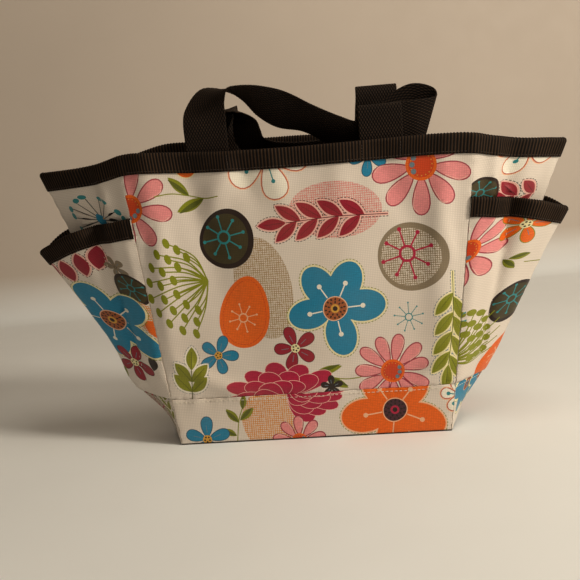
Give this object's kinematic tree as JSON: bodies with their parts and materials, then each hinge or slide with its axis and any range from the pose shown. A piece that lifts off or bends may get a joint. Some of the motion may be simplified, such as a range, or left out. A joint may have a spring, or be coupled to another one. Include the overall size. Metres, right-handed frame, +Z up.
{
  "type": "garden tool tote bag",
  "caption": "Small open-topped coated-canvas tote for garden hand tools, with outward-folding side gussets, side pockets, bound edges and two webbing carrying handles.",
  "frame": {"origin": "on the ground under the middle of the bag's overall box", "axes": "+X along the wide front towards its right end, +Y from the front panel to the back panel, +Z up"},
  "size_m": [0.5018, 0.0927, 0.3145],
  "materials": {
    "print_canvas": "coated woven polyester with a printed flower pattern, soft gloss",
    "lining": "thin matt woven lining, near black",
    "base_cloth": "plain dark brown coated cloth",
    "board": "stiff plastic base board",
    "binding_tape": "ribbed dark brown tape folded over the edge",
    "webbing": "dark brown woven webbing with a raised dot weave"
  },
  "bodies": {
    "root": {"front_panel": "print_canvas", "back_panel": "print_canvas", "left_gusset": "print_canvas", "right_gusset": "print_canvas", "front_band": "print_canvas", "back_band": "print_canvas", "left_band": "print_canvas", "right_band": "print_canvas", "left_pocket": "print_canvas", "right_pocket": "print_canvas", "front_lining": "lining", "back_lining": "lining", "left_lining": "lining", "right_lining": "lining", "base_lining": "lining", "base_panel": "base_cloth", "base_stiffener": "board", "mouth_binding": "binding_tape", "left_pocket_binding": "binding_tape", "right_pocket_binding": "binding_tape", "front_handle_left_end": "webbing", "front_handle_right_end": "webbing", "back_handle_left_end": "webbing", "back_handle_right_end": "webbing"},
    "front_handle": {"front_handle": "webbing"},
    "back_handle": {"back_handle": "webbing"}
  },
  "joints": [
    {"name": "front_handle_swing", "type": "hinge", "parent": "root", "child": "front_handle", "pos_m": [0, -0.0344, 0.268], "axis": [1, 0, 0], "range_deg": [-5, 110]},
    {"name": "back_handle_swing", "type": "hinge", "parent": "root", "child": "back_handle", "pos_m": [0, 0.0344, 0.268], "axis": [-1, 0, 0], "range_deg": [-5, 110]}
  ]
}
